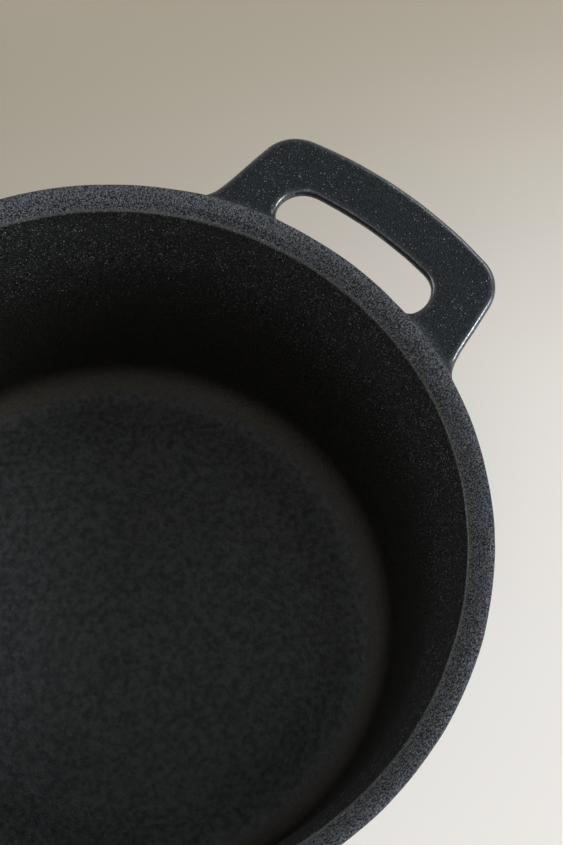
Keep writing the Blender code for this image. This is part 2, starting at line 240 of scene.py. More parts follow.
def prism(name: str, outline: Sequence[Point], bottom: float, top: float) -> Piece:
    """Builds a closed upright prism.

    Args:
        name: The new object's name.
        outline: The prism's outline, seen from above.
        bottom: The height of its foot.
        top: The height of its top.

    Returns:
        The prism.
    """
    build = bmesh.new()
    rows = [[build.verts.new((x, y, height)) for x, y in outline] for height in (bottom, top)]
    build.faces.new(rows[0])
    build.faces.new(rows[1])
    for i in range(len(outline)):
        build.faces.new((rows[0][i - 1], rows[0][i], rows[1][i], rows[1][i - 1]))
    return link(name, build)


def combine(obj: Piece, helper: Piece, operation: str) -> None:
    """Joins or cuts an object's mesh with a helper, and removes the helper.

    Args:
        obj: The object whose mesh changes.
        helper: The object that is joined to it or cut from it.
        operation: The Boolean operation's name.
    """
    modifier = obj.modifiers.new(helper.name, "BOOLEAN")
    modifier.operation = operation
    modifier.solver = "EXACT"
    modifier.object = helper
    evaluated = obj.evaluated_get(bpy.context.evaluated_depsgraph_get())
    result = bpy.data.meshes.new_from_object(evaluated)
    obj.modifiers.remove(modifier)
    obj.data = result
    bpy.data.objects.remove(helper, do_unlink=True)


def outline_distance(points: np.ndarray, outline: Sequence[Point]) -> np.ndarray:
    """Measures how far points lie from a closed outline.

    Args:
        points: An array of (x, y) points.
        outline: The outline's points.

    Returns:
        The distances, negative inside the outline.
    """
    nearest = np.full(len(points), np.inf)
    inside = np.zeros(len(points), bool)
    x, y = points.T
    for (ax, ay), (bx, by) in zip(outline, [*outline[1:], outline[0]]):
        dx, dy = bx - ax, by - ay
        share = np.clip(((x - ax) * dx + (y - ay) * dy) / (dx * dx + dy * dy), 0.0, 1.0)
        nearest = np.minimum(nearest, (x - ax - share * dx) ** 2 + (y - ay - share * dy) ** 2)
        if ay != by:
            inside ^= ((ay > y) != (by > y)) & (x < dx * (y - ay) / dy + ax)
    return np.where(inside, -1.0, 1.0) * np.sqrt(nearest)


def blended(first: np.ndarray, second: np.ndarray, reach: float) -> np.ndarray:
    """Returns the distance to two solids joined with a soft fillet of this reach."""
    overlap = np.maximum(reach - np.abs(first - second), 0.0)
    return np.minimum(first, second) - overlap**2 / (4 * reach)


def settle(points: np.ndarray, distance: Distance, rounds: int = 4) -> np.ndarray:
    """Moves points onto the zero surface of a signed distance.

    Args:
        points: The points, one in each row.
        distance: The signed distance.
        rounds: How often each point is moved.

    Returns:
        The moved points.
    """
    probes = PROBE * np.eye(3)
    for _ in range(rounds):
        value = distance(points)
        rises = [(distance(points + probe) - distance(points - probe)) / (2 * PROBE) for probe in probes]
        steepness = np.stack(rises, 1)
        squared = np.maximum((steepness**2).sum(1), LEAST_STEEPNESS)
        points = points - steepness * (value / squared)[:, None]
    return points


def surface(name: str, distance: Distance, low: Vector, high: Vector, cell: float) -> Piece:
    """Meshes the zero surface of a signed distance, with one vertex in each cell that it crosses.

    Args:
        name: The new object's name.
        distance: The signed distance, negative inside. The box's faces lie outside the solid.
        low: The lowest corner of the box that holds the solid.
        high: The highest corner of that box.
        cell: The side of a cell.

    Returns:
        The solid's object.
    """
    counts = [math.ceil((b - a) / cell) + 1 for a, b in zip(low, high)]
    axes = [a + cell * np.arange(n) for a, n in zip(low, counts)]
    lattice = np.stack(np.meshgrid(*axes, indexing="ij"), axis=-1).reshape(-1, 3)
    inside = (distance(lattice) < 0).reshape(counts)
    nx, ny, nz = (n - 1 for n in counts)
    corners = list(product((0, 1), repeat=3))
    filled = sum(inside[i : i + nx, j : j + ny, k : k + nz].astype(int) for i, j, k in corners)
    crossed = (filled > 0) & (filled < len(corners))
    number = np.cumsum(crossed).reshape(crossed.shape) - 1
    points = settle(np.array(low) + (np.argwhere(crossed) + 0.5) * cell, distance)
    faces = []
    for axis in range(3):
        edges = np.argwhere(inside != np.roll(inside, -1, axis))
        aside, across = np.roll(np.eye(3, dtype=int), -1 - axis, axis=0)[:2]
        cells = [edges, edges - aside, edges - aside - across, edges - across]
        faces.append(np.stack([number[tuple(c.T)] for c in cells], 1))
    build = bmesh.new()
    verts = [build.verts.new(p) for p in points]
    for face in np.concatenate(faces):
        build.faces.new([verts[i] for i in face])
    return link(name, build)


def vertices_of(mesh: bpy.types.Mesh) -> tuple[np.ndarray, np.ndarray]:
    """Reads a mesh's vertices.

    Args:
        mesh: The mesh.

    Returns:
        The vertices' places and their normals, one in each row.
    """
    points, normals = np.empty(len(mesh.vertices) * 3), np.empty(len(mesh.vertices) * 3)
    mesh.vertices.foreach_get("co", points)
    mesh.vertex_normals.foreach_get("vector", normals)
    return points.reshape(-1, 3), normals.reshape(-1, 3)


@dataclass(frozen=True)
class CastSkin:
    """Shallow unevenness of a sand casting, cut into its surface so that its box stays."""

    wave_depth: float = 0.00030
    wave_size: float = 0.024
    dent_depth: float = 0.00022
    dent_size: float = 0.0080
    calm_height: float = 0.0015

    def apply(self, obj: Piece) -> None:
        """Moves each vertex in along its normal, but for those near the foot plane.

        Args:
            obj: The casting.
        """
        points, normals = vertices_of(obj.data)
        depth = self.depth_field(points, self.wave_size, self.wave_depth)
        depth += self.depth_field(points, self.dent_size, self.dent_depth)
        depth *= smooth_step(np.abs(points[:, 2] - points[:, 2].min()), 0.0, self.calm_height)
        obj.data.vertices.foreach_set("co", (points - normals * depth[:, None]).ravel())
        obj.data.update()

    @staticmethod
    def depth_field(points: np.ndarray, size: float, depth: float) -> np.ndarray:
        """Returns a smooth depth from 0 to this depth at each point, with swells of this size."""
        swell = np.array([noise.noise(Vector(p) / size) for p in points])
        return depth * (0.5 + 0.5 * np.clip(swell, -1.0, 1.0))


def mark(obj: Piece, zone: Zone, values: np.ndarray) -> None:
    """Stores how much of a zone each vertex has, for the finish to read."""
    attribute = obj.data.attributes.new(zone.value, "FLOAT", "POINT")
    attribute.data.foreach_set("value", values.astype(np.float32))


def convexity(mesh: bpy.types.Mesh, low: float = 70.0, high: float = 190.0, rounds: int = 1) -> np.ndarray:
    """Tells the rounded edges of a mesh from its faces.

    Args:
        mesh: The mesh.
        low: The mean curvature, in 1/m, at which an edge begins.
        high: The mean curvature of a full edge.
        rounds: How often the result is spread to the neighbouring vertices.

    Returns:
        A value from 0 to 1 for each vertex.
    """
    points, normals = vertices_of(mesh)
    count = len(points)
    ends = np.empty(len(mesh.edges) * 2, int)
    mesh.edges.foreach_get("vertices", ends)
    ends = ends.reshape(-1, 2)
    near, far = np.concatenate([ends, ends[:, ::-1]]).T
    shares = np.bincount(near, minlength=count)
    reach = points[near] - points[far]
    bend = 2 * (reach * normals[near]).sum(1) / np.maximum((reach**2).sum(1), PROBE**2)
    values = smooth_step(np.bincount(near, bend, count) / shares, low, high)
    for _ in range(rounds):
        values = (values + np.bincount(near, values[far], count) / shares) / 2
    return values


def dress(obj: Piece, material: bpy.types.Material, body: str, node: str) -> None:
    """Shades a finished piece, gives it its material and sets it in the frame.

    Args:
        obj: The piece.
        material: Its material.
        body: The body that it rides on.
        node: The model's node that it stands for.
    """
    mark(obj, Zone.EDGE, convexity(obj.data))
    obj.data.materials.clear()
    obj.data.materials.append(material)
    obj.data.shade_smooth()
    obj.data.set_sharp_from_angle(angle=math.radians(SHARP_EDGE))
    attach(obj, body)
    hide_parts(node)
    log.info("%s: %d faces, rides on %s", obj.name, len(obj.data.polygons), body)


class Wiring:
    """Adds and links the nodes of one node tree."""

    def __init__(self, tree: Tree) -> None:
        """Takes the tree that is wired."""
        self.tree = tree

    def add(self, kind: str, inputs: dict | None = None, **settings: object) -> bpy.types.Node:
        """Adds a node.

        Args:
            kind: The node's type.
            inputs: Values or sockets for the node's inputs, by name or number.
            settings: The node's own settings.

        Returns:
            The node.
        """
        node = self.tree.nodes.new(kind)
        for name, value in settings.items():
            setattr(node, name, value)
        self.feed(node, inputs or {})
        return node

    def feed(self, node: bpy.types.Node, values: dict) -> None:
        """Links or sets a node's inputs, a plain colour with full alpha.

        Args:
            node: The node.
            values: Values or sockets for its inputs, by name or number.
        """
        for key, value in values.items():
            socket = node.inputs[key]
            if isinstance(value, Socket):
                self.tree.links.new(value, socket)
            else:
                socket.default_value = (*value, 1.0) if socket.type == "RGBA" else value

    def math(self, operation: str, *values: object) -> Socket:
        """Returns the output of a Math node of this operation."""
        return self.add("ShaderNodeMath", dict(enumerate(values)), operation=operation).outputs[0]

    def times(self, first: object, second: object) -> Socket:
        """Returns the product of two values."""
        return self.math("MULTIPLY", first, second)

    def measure(self, operation: str, *vectors: object) -> Socket:
        """Returns the number that a Vector Math node of this operation gives."""
        node = self.add("ShaderNodeVectorMath", dict(enumerate(vectors)), operation=operation)
        return node.outputs["Value"]

    def remap(self, value: object, *ends: float, curve: str = "LINEAR") -> Socket:
        """Returns a value mapped from one range to another, or to 0 to 1, clamped."""
        inputs = dict(enumerate((value, *ends)))
        return self.add("ShaderNodeMapRange", inputs, interpolation_type=curve).outputs[0]

    def between(self, share: object, first: float, second: float) -> Socket:
        """Returns a number between two, by this share of the second."""
        return self.remap(share, 0.0, 1.0, first, second)

    def mix(self, share: object, first: object, second: object) -> Socket:
        """Returns a colour between two, by this share of the second."""
        return self.add("ShaderNodeMix", {0: share, 6: first, 7: second}, data_type="RGBA").outputs[2]


def node_group(name: str, inputs: dict[str, str], outputs: dict[str, str]) -> tuple[Wiring, dict]:
    """Starts a shader node group.

    Args:
        name: The group's name.
        inputs: The inputs' socket kinds by name.
        outputs: The outputs' socket kinds by name.

    Returns:
        The group's wiring, and its input sockets by name.
    """
    tree = bpy.data.node_groups.new(name, "ShaderNodeTree")
    for direction, sockets in (("INPUT", inputs), ("OUTPUT", outputs)):
        for label, kind in sockets.items():
            tree.interface.new_socket(name=label, in_out=direction, socket_type="NodeSocket" + kind)
    wires = Wiring(tree)
    entry = wires.add("NodeGroupInput")
    return wires, {label: entry.outputs[label] for label in inputs}


@dataclass(frozen=True)
class SandGrain:
    """The grain of a sand casting: its relief, its bright specks, which are painted glints, and its mottle.
    """

    noise_roughness: float = 0.6
    fine_detail: float = 1.0
    mottle_detail: float = 3.0
    grain_tones: Span = (0.38, 0.66)
    pebble_tones: Span = (0.30, 0.70)
    mottle_tones: Span = (0.35, 0.65)
    crowding: Span = (0.4, 1.6)
    spot_edge: Span = (0.25, 0.60)
    brightness_power: float = 2.0

    def group(self) -> Tree:
        """Builds the shared node group.

        Returns:
            The group.
        """
        inputs = {
            "Vector": "Vector",
            "Grain Size": "Float",
            "Grain Depth": "Float",
            "Pebble Size": "Float",
            "Pebble Depth": "Float",
            "Speck Size": "Float",
            "Speck Share": "Float",
            "Mottle Size": "Float",
        }
        outputs = ("Height", "Grain", "Pebbles", "Glint Specks", "Mottle")
        wires, given = node_group("Sand grain", inputs, dict.fromkeys(outputs, "Float"))

        def noise_of(size: str, detail: float) -> Socket:
            """Draws noise.

            Args:
                size: The name of the input that gives the size of its features.
                detail: How many finer layers it has.

            Returns:
                The noise.
            """
            scale = wires.math("DIVIDE", 1.0, given[size])
            values = {"Vector": given["Vector"], "Scale": scale, "Detail": detail}
            return wires.add("ShaderNodeTexNoise", values | {"Roughness": self.noise_roughness}).outputs[0]

        tone = noise_of("Grain Size", self.fine_detail)
        stones = noise_of("Pebble Size", self.fine_detail)
        mottle = noise_of("Mottle Size", self.mottle_detail)
        grain = wires.times(tone, given["Grain Depth"])
        pebbles = wires.times(stones, given["Pebble Depth"])
        # Bright specks: painted glints of grains that catch the light, crowded by the mottle.
        scale = wires.math("DIVIDE", 1.0, given["Speck Size"])
        cells = wires.add("ShaderNodeTexVoronoi", {"Vector": given["Vector"], "Scale": scale})
        parts = wires.add("ShaderNodeSeparateColor", {0: cells.outputs["Color"]}).outputs
        share = wires.times(given["Speck Share"], wires.remap(mottle, *self.mottle_tones, *self.crowding))
        chosen = wires.math("GREATER_THAN", share, parts[0])
        spot = wires.remap(cells.outputs["Distance"], *self.spot_edge, 1.0, 0.0)
        brightness = wires.math("POWER", wires.times(parts[1], parts[2]), self.brightness_power)
        drawn = (
            wires.math("ADD", grain, pebbles),
            wires.remap(tone, *self.grain_tones),
            wires.remap(stones, *self.pebble_tones),
            wires.times(chosen, wires.times(spot, brightness)),
            mottle,
        )
        wires.add("NodeGroupOutput", dict(zip(outputs, drawn)))
        return wires.tree


@dataclass(frozen=True)
class TurningRings:
    """The fine rings that a lathe leaves round an upright axis."""

    detail: float = 2.0

    def group(self) -> Tree:
        """Builds the shared node group.

        Returns:
            The group.
        """
        inputs = {"Vector": "Vector", "Axis": "Vector", "Ring Width": "Float"}
        wires, given = node_group("Turning rings", inputs, {"Height": "Float"})
        ends = {0: given["Vector"], 1: given["Axis"]}
        aside = wires.add("ShaderNodeVectorMath", ends, operation="SUBTRACT").outputs[0]
        parts = wires.add("ShaderNodeSeparateXYZ", {0: aside}).outputs
        flat = wires.add("ShaderNodeCombineXYZ", {0: parts[0], 1: parts[1]}).outputs[0]
        along = wires.math("ADD", wires.measure("LENGTH", flat), parts[2])
        rings = {"W": wires.math("DIVIDE", along, given["Ring Width"]), "Scale": 1.0, "Detail": self.detail}
        tone = wires.add("ShaderNodeTexNoise", rings, noise_dimensions="1D").outputs[0]
        wires.add("NodeGroupOutput", {"Height": tone})
        return wires.tree


def principled(name: str) -> tuple[Wiring, bpy.types.Node, Socket]:
    """Starts a material.

    Args:
        name: The material's name.

    Returns:
        The material's wiring, its shader node and its object coordinates.
    """
    material = bpy.data.materials.new(name)
    material.use_nodes = True
    wires = Wiring(material.node_tree)
    shader = material.node_tree.nodes["Principled BSDF"]
    return wires, shader, wires.add("ShaderNodeTexCoord").outputs["Object"]


@dataclass(frozen=True)
class SeasonedIron:
    """Finish of black seasoned cast iron, with the relief of the sand mould, painted shade in its grain's
    pits, a painted highlight on the pot's floor fillet, painted light on the cooking floor and painted
    glints as bright specks.
    """

    name: str
    # Darker in the grain's pits: the grain's own tone, partly painted shade in its hollows.
    pit_tone_and_shade_colour: Colour = (0.0018, 0.0020, 0.0026)
    colour: Colour = (0.0124, 0.0153, 0.0187)
    lip_colour: Colour = (0.0960, 0.1010, 0.1140)
    bead_colour: Colour = (0.0640, 0.0600, 0.0480)
    bead_share: float = 0.8
    cavity_colour: Colour = (0.0168, 0.0144, 0.0105)
    mouth_colour: Colour = (0.0182, 0.0174, 0.0168)
    # A lighter brown band on the floor's fillet: a painted highlight of the light that it catches.
    heel_highlight_colour: Colour = (0.0560, 0.0485, 0.0385)
    heel_highlight_pit_colour: Colour = (0.0330, 0.0270, 0.0190)
    # The cooking floor is painted lighter than the walls: painted light that stands in for the light
    # reaching it. Its pebbles' pits are darker, partly painted shade in their hollows.
    floor_painted_light_colour: Colour = (0.0690, 0.0704, 0.0722)
    floor_pit_painted_light_and_shade_colour: Colour = (0.0310, 0.0317, 0.0327)
    edge_colour: Colour = (0.0130, 0.0150, 0.0185)
    edge_grain: float = 0.4
    edge_coat: float = 1.0
    pit_coat: float = 0.25
    coat_roughness: float = 0.22
    coat_index: float = 1.85
    # Bright specks are painted glints of sand grains that catch the light.
    glint_speck_colour: Colour = (0.32, 0.340, 0.365)
    sheen_tint: Colour = (0.84, 0.95, 1.0)
    sheen: float = 0.24
    roughness: float = 0.47
    roughness_spread: float = 0.06
    edge_gloss: float = 0.12
    grain_size: float = 0.00050
    grain_depth: float = 0.00026
    lip_grain: float = 2.6
    pebble_size: float = 0.0020
    pebble_depth: float = 0.00030
    wall_pebble_depth: float = 0.00010
    speck_size: float = 0.00034
    speck_share: float = 0.22
    speck_gloss: float = 0.30
    # The inside gets more painted glints; they thin out with depth.
    cavity_glints: float = 1.9
    mottle_size: float = 0.013
    mottle_tones: Span = (0.3, 0.7)

    def material(self, grain: Tree) -> bpy.types.Material:
        """Builds the material.

        Args:
            grain: The sand grain group.

        Returns:
            The material.
        """
        wires, shader, place = principled(self.name)
        zones = {
            zone: wires.add("ShaderNodeAttribute", attribute_name=zone.value).outputs["Fac"] for zone in Zone
        }
        apart = wires.math("MAXIMUM", zones[Zone.INSIDE], zones[Zone.LIP])
        zones[Zone.EDGE] = wires.times(zones[Zone.EDGE], wires.between(apart, 1.0, 0.0))
        skin = self.skin(wires, zones, place, grain)
        bump = wires.add("ShaderNodeBump", {"Strength": 1.0, "Distance": 1.0, "Height": skin["Height"]})
        broken = wires.between(skin["Grain"], self.edge_coat * self.pit_coat, self.edge_coat)
        wires.feed(
            shader,
            {
                "Base Color": self.tone(wires, zones, skin),
                "Roughness": self.dullness(wires, zones, skin),
                "Normal": bump.outputs[0],
                "Specular Tint": self.sheen_tint,
                "Specular IOR Level": self.sheen,
                "Coat Weight": wires.times(zones[Zone.EDGE], broken),
                "Coat Roughness": self.coat_roughness,
                "Coat IOR": self.coat_index,
            },
        )
        return bpy.data.materials[self.name]

    def skin(self, wires: Wiring, zones: dict, place: Socket, grain: Tree) -> dict:
        """Draws the grain: coarser and with more painted glints on the lip, finer on the edges.

        Args:
            wires: The material's wiring.
            zones: The share of each zone.
            place: The object coordinates.
            grain: The sand grain group.

        Returns:
            The group's outputs by name.
        """
        coarse = wires.between(zones[Zone.LIP], 1.0, self.lip_grain)
        depth = wires.times(coarse, wires.between(zones[Zone.EDGE], 1.0, self.edge_grain))
        # More painted glints inside, fading out deeper in the pot, where less light reaches.
        share = wires.between(zones[Zone.INSIDE], self.speck_share, self.speck_share * self.cavity_glints)
        share = wires.times(share, wires.between(zones[Zone.DEPTH], 1.0, 0.0))
        inputs = {
            "Vector": place,
            "Grain Size": self.grain_size,
            "Grain Depth": wires.times(depth, self.grain_depth),
            "Pebble Size": self.pebble_size,
            "Pebble Depth": wires.between(zones[Zone.FLOOR], self.wall_pebble_depth, self.pebble_depth),
            "Speck Size": self.speck_size,
            "Speck Share": wires.times(coarse, share),
            "Mottle Size": self.mottle_size,
        }
        group = wires.add("ShaderNodeGroup", inputs, node_tree=grain)
        return {output.name: output for output in group.outputs}

    def tone(self, wires: Wiring, zones: dict, skin: dict) -> Socket:
        """Colours each zone, darker in the pits of its grain, partly with painted shade, and with a painted
        highlight on the floor's fillet, painted light on the cooking floor and painted glints as bright
        specks.

        Args:
            wires: The material's wiring.
            zones: The share of each zone.
            skin: The grain group's outputs.

        Returns:
            The colour.
        """
        body = wires.mix(zones[Zone.LIP], self.colour, self.lip_colour)
        inside = wires.mix(zones[Zone.DEPTH], self.mouth_colour, self.cavity_colour)
        body = wires.mix(zones[Zone.INSIDE], body, inside)
        # Darker in the grain's pits, partly painted shade in its hollows.
        body = wires.mix(skin["Grain"], self.pit_tone_and_shade_colour, body)
        body = wires.mix(wires.times(zones[Zone.BEAD], self.bead_share), body, self.bead_colour)
        # The painted highlight on the floor's fillet, darker in its grain's pits.
        heel_highlight = wires.mix(skin["Grain"], self.heel_highlight_pit_colour, self.heel_highlight_colour)
        body = wires.mix(zones[Zone.HEEL_HIGHLIGHT], body, heel_highlight)
        # The cooking floor: painted light, with painted shade in its pebbles' hollows.
        stones = wires.mix(skin["Pebbles"], self.floor_pit_painted_light_and_shade_colour, self.floor_painted_light_colour)
        body = wires.mix(zones[Zone.FLOOR], body, stones)
        body = wires.mix(zones[Zone.EDGE], body, self.edge_colour)
        # Bright specks: painted glints.
        return wires.mix(skin["Glint Specks"], body, self.glint_speck_colour)

    def dullness(self, wires: Wiring, zones: dict, skin: dict) -> Socket:
        """Gives the mottled skin its roughness, less on the edges and on the specks.

        Args:
            wires: The material's wiring.
            zones: The share of each zone.
            skin: The grain group's outputs.

        Returns:
            The roughness.
        """
        high, low = self.roughness + self.roughness_spread, self.roughness - self.roughness_spread
        rough = wires.remap(skin["Mottle"], *self.mottle_tones, high, low)
        rough = wires.math("SUBTRACT", rough, wires.times(zones[Zone.EDGE], self.edge_gloss))
        return wires.math("SUBTRACT", rough, wires.times(skin["Glint Specks"], self.speck_gloss))


@dataclass(frozen=True)
class TurnedSteel:
    """Finish of a small bright steel part, turned on a lathe."""

    name: str
    colour: Colour = (0.52, 0.52, 0.51)
    dull_colour: Colour = (0.40, 0.40, 0.39)
    roughness: float = 0.30
    ring_width: float = 0.00012
    ring_depth: float = 0.000012
    ring_tones: Span = (0.3, 0.7)
    ring_gloss: float = 0.06
    ring_dullness: float = 0.10

    def material(self, turning: Tree, axis: Vector) -> bpy.types.Material:
        """Builds the material.

        Args:
            turning: The turning rings group.
            axis: A point on the part's upright axis.

        Returns:
            The material.
        """
        wires, shader, place = principled(self.name)
        inputs = {"Vector": place, "Axis": axis, "Ring Width": self.ring_width}
        ring = wires.add("ShaderNodeGroup", inputs, node_tree=turning).outputs["Height"]
        height = wires.times(ring, self.ring_depth)
        ends = (self.roughness - self.ring_gloss, self.roughness + self.ring_dullness)
        wires.feed(
            shader,
            {
                "Base Color": wires.mix(ring, self.colour, self.dull_colour),
                "Roughness": wires.remap(ring, *self.ring_tones, *ends),
                "Normal": wires.add("ShaderNodeBump", {"Distance": 1.0, "Height": height}).outputs[0],
                "Metallic": 1.0,
            },
        )
        return bpy.data.materials[self.name]


@dataclass
class CastPot:
    """The pot: one iron casting with a flared rim and two loop handles."""

    name: str = "pot_casting"
    steps: int = 240
    longest_side: float = 0.0020
    outer_rounding: float = 0.0018
    inner_rounding: float = 0.0050
    rim_width: float = 0.0073
    inner_drop: float = 0.0045
    inner_edge: float = 0.00035
    lip_slope: float = 46.0
    groove_from: float = 0.0009
    groove_width: float = 0.0012
    groove_depth: float = 0.00025
    groove_form: tuple[Span, ...] = ((0.0, 0.0), (0.3, 1.0), (0.7, 1.0), (1.0, 0.0))
    flare_depth: float = 0.0196
    flare_inset: float = 0.0037
    brow_depth: float = 0.0033
    brow_lean: float = 12.0
    waist_height: float = 0.0046
    waist_lean: float = 11.0
    flare_fillet: float = 0.030
    step_width: float = 0.0008
    step_spread: float = 0.0060
    wall_draft: float = 8.3
    wall: float = 0.0060
    floor: float = 0.0056
    floor_fillet: float = 0.0117
    crown: float = 0.0014
    crown_foot: float = 0.0740
    crown_top: float = 0.0580
    flatness: float = 0.00001
    shoulder_rounding: float = 0.030
    base_fillet: float = 0.014
    handle_drop: float = 0.0037
    handle_thickness: float = 0.0056
    handle_draft: float = 10.0
    handle_rounding: float = 0.0023
    handle_half_width: float = 0.0430
    handle_taper: float = 6.5
    handle_corner: float = 0.0125
    handle_root_fillet: float = 0.020
    grip_width: float = 0.0163
    corner_step: float = 4.0
    grip_step: float = 2.0
    slot_half_length: float = 0.0260
    slot_end_radius: float = 0.0080
    slot_end_turn: float = 140.0
    root_share: float = 0.6
    weld_reach: float = 0.0048
    weld_length: float = 0.0050
    seam_sink: float = 0.00006
    lip_margin: float = 0.0010
    floor_blend: float = 0.10
    # The shares of the floor fillet's height between which the painted highlight fades out.
    heel_highlight_from: float = 0.02
    heel_highlight_to: float = 0.72
    # Depths under the rim between which the painted glints inside fade out and the mouth's paler, bluer
    # colour turns into the cavity's warmer one.
    glinting_depth: float = 0.018
    glintless_depth: float = 0.054
    lip_spread: float = 0.0022
    handle_cell: float = 0.0006

    def __post_init__(self) -> None:
        """Takes the overall sizes from the model's pot."""
        low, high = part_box("pot")
        self.height = high.z - low.z
        self.rim_radius = high.y
        self.reach = high.x

    @property
    def mouth_radius(self) -> float:
        """The radius of the rim's inner edge."""
        return self.rim_radius - self.rim_width

    @property
    def step_radius(self) -> float:
        """The inner radius just under the step."""
        return self.mouth_radius - self.flare_inset - self.step_width

    @property
    def shoulder_radius(self) -> float:
        """The outer radius at the foot of the flared band."""
        return self.step_radius + self.wall / math.cos(math.radians(self.wall_draft))

    def outer_radius(self, drop: float) -> float:
        """Works out the outer face's radius within the flared band.

        Args:
            drop: How far under the rim it is taken.

        Returns:
            The radius.
        """
        across = self.rim_radius - self.outer_rounding - self.shoulder_radius
        up = self.flare_depth - self.outer_rounding
        lean = math.asin(self.outer_rounding / math.hypot(across, up))
        return self.shoulder_radius + (self.flare_depth - drop) / math.tan(math.atan2(up, across) - lean)

    def on_lip(self, distance: float, depth: float) -> Corner:
        """Returns a sharp corner on the lip's inner slope.

        Args:
            distance: How far up the slope from the rim's inner edge it lies.
            depth: How deep it is sunk into the slope.

        Returns:
            The corner.
        """
        turn = math.radians(self.lip_slope)
        radius = self.mouth_radius + distance * math.sin(turn) + depth * math.cos(turn)
        height = self.height - self.inner_drop + distance * math.cos(turn) - depth * math.sin(turn)
        return (radius, height, 0.0)

    def section(self) -> list[Point]:
        """Draws the pot's section.

        Returns:
            The points: across the floor, up the inside, over the rim and down the outside.
        """
        step_height = self.height - self.flare_depth
        foot_height = step_height - self.step_spread
        floor_corner = self.step_radius - (step_height - self.floor) * slope(self.wall_draft)
        base_corner = self.shoulder_radius - step_height * slope(self.wall_draft)
        lip = self.mouth_radius + self.inner_drop * slope(self.lip_slope)
        groove = [
            self.on_lip(self.groove_from + self.groove_width * share, self.groove_depth * sunk)
            for share, sunk in self.groove_form
        ]
        flare_foot = self.mouth_radius - self.flare_inset
        waist = flare_foot + self.waist_height * slope(self.waist_lean)
        brow = self.mouth_radius - self.brow_depth * slope(self.brow_lean)
        step_foot = self.step_radius - self.step_spread * slope(self.wall_draft)
        edge_height = self.height - self.inner_drop
        return rounded(
            [
                (0.0, self.floor, 0),
                (floor_corner, self.floor, self.floor_fillet),
                (step_foot, foot_height, self.flare_fillet),
                (flare_foot, step_height, self.flare_fillet),
                (waist, step_height + self.waist_height, self.flare_fillet),
                (brow, edge_height - self.brow_depth, self.flare_fillet),
                (self.mouth_radius, edge_height, self.inner_edge),
                *groove,
                (lip, self.height, self.inner_rounding),
                (self.outer_radius(0), self.height, self.outer_rounding),
                (self.shoulder_radius, step_height, self.shoulder_rounding),
                (base_corner, 0.0, self.base_fillet),
                (0.0, 0.0, 0),
            ]
        )

    @staticmethod
    def along_to_radius(point: Point, direction: Point, radius: float) -> Point:
        """Follows a line out of a circle about the origin.

        Args:
            point: A point of the line, inside the circle.
            direction: The line's unit direction.
            radius: The circle's radius.

        Returns:
            Where the line leaves the circle.
        """
        along = point[0] * direction[0] + point[1] * direction[1]
        past = math.sqrt(along**2 - (point[0] ** 2 + point[1] ** 2 - radius**2))
        return (point[0] + direction[0] * (past - along), point[1] + direction[1] * (past - along))

    def slot_edge(self, root: float) -> list[Point]:
        """Returns half of a finger slot's edge.

        Args:
            root: The radius of the handle's ends inside the wall.

        Returns:
            The points from inside the wall to the middle of the grip.
        """
        far_side = self.reach - self.grip_width
        end_y = self.slot_half_length - self.slot_end_radius
        end = (math.sqrt((far_side - self.slot_end_radius) ** 2 - end_y**2), end_y)
        round_end = arc(end, self.slot_end_radius, self.slot_end_turn, bearing(end))
        turn = math.radians(self.slot_end_turn)
        tangent = (-math.sin(turn), math.cos(turn))
        distance, outwards = heading((0, 0), round_end[0])
        run = (distance - root) / -(tangent[0] * outwards[0] + tangent[1] * outwards[1])
        start = (round_end[0][0] + tangent[0] * run, round_end[0][1] + tangent[1] * run)
        return [start] + round_end + arc((0, 0), far_side, bearing(end), 0, self.grip_step)[1:]

    def handle_edge(self, wall: float, root: float) -> list[Point]:
        """Returns half of a handle's outer edge.

        Args:
            wall: The wall's outer radius at the handle.
            root: The radius of the handle's ends inside the wall.

        Returns:
            The points from the slot's edge inside the wall to the middle of the grip.
        """
        taper = math.radians(self.handle_taper)
        direction = (math.cos(taper), -math.sin(taper))
        outwards = (math.sin(taper), math.cos(taper))

        def beside(distance: float) -> Point:
            """Returns a point of the line that runs this far outside the handle's side."""
            start = self.handle_half_width + wall * slope(self.handle_taper)
            return (outwards[0] * distance, start + outwards[1] * distance)

        fillet, rounding = self.handle_root_fillet, self.handle_corner
        start = self.along_to_radius(beside(fillet), direction, wall + fillet)
        corner = self.along_to_radius(beside(-rounding), direction, self.reach - rounding)
        side = 90 - self.handle_taper
        edge = arc((0, 0), root, bearing(self.slot_edge(root)[0]), bearing(start))[1:]
        edge += arc(start, fillet, bearing(start) + 180, side + 180)
        edge += arc(corner, rounding, side, bearing(corner), self.corner_step)
        return edge + arc((0, 0), self.reach, bearing(corner), 0, self.grip_step)[1:]

    def handle_form(self) -> Distance:
        """Shapes the handle at +X with the soft fillet that joins it to the wall.

        Returns:
            The handle's signed distance.
        """
        wall = self.outer_radius(self.handle_drop + self.handle_thickness / 2)
        root = wall - self.root_share * self.wall
        slot = self.slot_edge(root)
        plan = mirrored(self.handle_edge(wall, root)) + list(reversed(mirrored(slot)))
        section = self.section()
        top = self.height - self.handle_drop
        middle = top - self.handle_thickness / 2
        lean = slope(self.handle_draft)
        upright = math.cos(math.radians(self.handle_draft))
        widest = self.handle_rounding * (lean + 1 / upright - 1)

